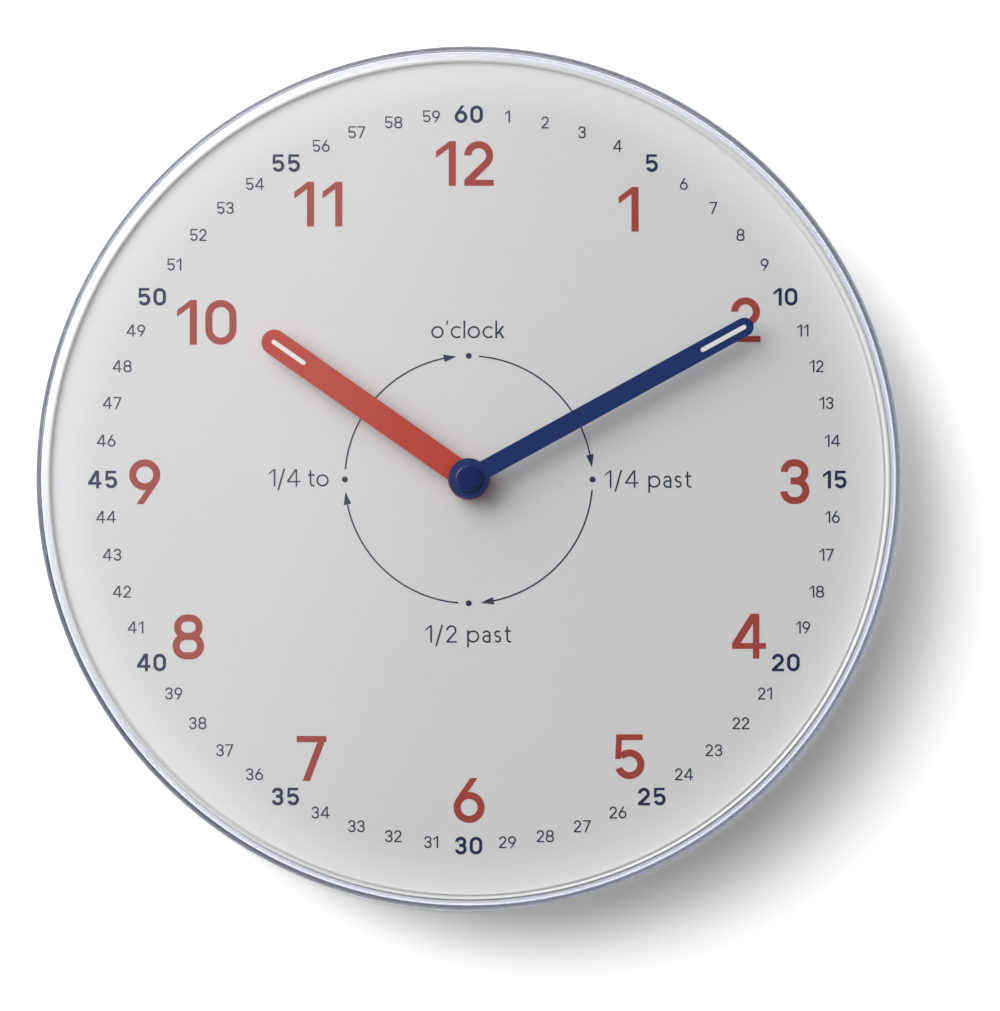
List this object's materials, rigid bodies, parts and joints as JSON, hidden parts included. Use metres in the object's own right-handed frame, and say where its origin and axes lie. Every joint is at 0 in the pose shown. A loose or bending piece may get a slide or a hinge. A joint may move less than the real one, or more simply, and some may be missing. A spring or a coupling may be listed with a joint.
{
  "type": "teaching wall clock",
  "caption": "Round teaching wall clock with a numbered dial, a red hour hand and a blue minute hand under a clear cover, driven by a battery quartz movement and hung by a keyhole in its back.",
  "frame": {"origin": "centre of the case, on the hand axis at half of the clock's depth", "axes": "+Z points to 12 o'clock, +X to 3 o'clock as the viewer sees the dial, and +Y from the viewer to the wall"},
  "size_m": [0.2, 0.0352, 0.2],
  "materials": {
    "clear_plastic": "polished",
    "white_plastic": "satin",
    "dial_sheet": "matte",
    "red_paint": "satin",
    "blue_paint": "satin",
    "blue_plastic": "satin",
    "pale_inlay": "matte",
    "movement_plastic": "satin",
    "lid_plastic": "satin",
    "gear_plastic": "satin",
    "arbor_brass": "satin",
    "screw_steel": "satin",
    "magnet": "satin",
    "core_steel": "satin",
    "bobbin_plastic": "satin",
    "copper_wire": "satin",
    "circuit_board": "satin",
    "crystal_can": "satin",
    "chip_resin": "satin",
    "cell_jacket": "satin",
    "contact_steel": "satin",
    "knob_plastic": "satin"
  },
  "bodies": {
    "case": {"clear_cover": "clear_plastic", "rear_cover": "white_plastic", "case_screws": "screw_steel", "dial_carrier": "white_plastic", "dial": "dial_sheet", "movement_housing": "movement_plastic", "movement_lid": "lid_plastic", "lid_screws": "screw_steel", "movement_screws": "screw_steel", "stator": "core_steel", "coil_core": "core_steel", "coil_bobbin": "bobbin_plastic", "coil_winding": "copper_wire", "circuit_board": "circuit_board", "quartz_crystal": "crystal_can", "driver_chip": "chip_resin", "positive_contact": "contact_steel", "negative_contact": "contact_steel"},
    "minute_hand": {"minute_hand": "blue_paint", "minute_hand_inlay": "pale_inlay", "hand_cap": "blue_plastic", "minute_arbor": "arbor_brass", "centre_wheel": "gear_plastic", "clutch_spring": "arbor_brass"},
    "hour_hand": {"hour_hand": "red_paint", "hour_hand_inlay": "pale_inlay", "hour_wheel": "gear_plastic"},
    "minute_wheel": {"minute_wheel": "gear_plastic"},
    "setting_knob": {"setting_knob": "knob_plastic"},
    "third_wheel": {"third_wheel": "gear_plastic"},
    "fourth_wheel": {"fourth_wheel": "gear_plastic"},
    "fifth_wheel": {"fifth_wheel": "gear_plastic"},
    "rotor": {"rotor": "gear_plastic", "rotor_magnet": "magnet"},
    "battery": {"battery": "cell_jacket"}
  },
  "joints": [
    {"name": "minute_hand_turn", "type": "hinge", "parent": "case", "child": "minute_hand", "pos_m": [0, 0, 0], "axis": [0, 1, 0], "continuous": true},
    {"name": "hour_hand_turn", "type": "hinge", "parent": "case", "child": "hour_hand", "pos_m": [0, 0, 0], "axis": [0, 1, 0], "continuous": true},
    {"name": "minute_wheel_turn", "type": "hinge", "parent": "case", "child": "minute_wheel", "pos_m": [0.0084, 0, 0], "axis": [0, 1, 0], "continuous": true},
    {"name": "setting_knob_turn", "type": "hinge", "parent": "case", "child": "setting_knob", "pos_m": [0.01629, 0, -0.00287], "axis": [0, 1, 0], "continuous": true},
    {"name": "third_wheel_turn", "type": "hinge", "parent": "case", "child": "third_wheel", "pos_m": [-0.01001, 0, 0.00578], "axis": [0, 1, 0], "continuous": true},
    {"name": "fourth_wheel_turn", "type": "hinge", "parent": "case", "child": "fourth_wheel", "pos_m": [-0.00826, 0, 0.01571], "axis": [0, 1, 0], "continuous": true},
    {"name": "fifth_wheel_turn", "type": "hinge", "parent": "case", "child": "fifth_wheel", "pos_m": [-0.00164, 0, 0.01687], "axis": [0, 1, 0], "continuous": true},
    {"name": "rotor_turn", "type": "hinge", "parent": "case", "child": "rotor", "pos_m": [0.00452, 0, 0.01687], "axis": [0, 1, 0], "continuous": true},
    {"name": "battery_slide", "type": "slide", "parent": "case", "child": "battery", "axis": [0, 1, 0], "range_m": [0, 0.02]}
  ],
  "couplings": [
    {"joint": "hour_hand_turn", "follows": "minute_hand_turn", "ratio": 0.083333},
    {"joint": "minute_wheel_turn", "follows": "minute_hand_turn", "ratio": -0.33333},
    {"joint": "setting_knob_turn", "follows": "minute_hand_turn", "ratio": 1},
    {"joint": "third_wheel_turn", "follows": "minute_hand_turn", "ratio": -7.5},
    {"joint": "fourth_wheel_turn", "follows": "minute_hand_turn", "ratio": 60},
    {"joint": "fifth_wheel_turn", "follows": "minute_hand_turn", "ratio": -300},
    {"joint": "rotor_turn", "follows": "minute_hand_turn", "ratio": 1800}
  ]
}
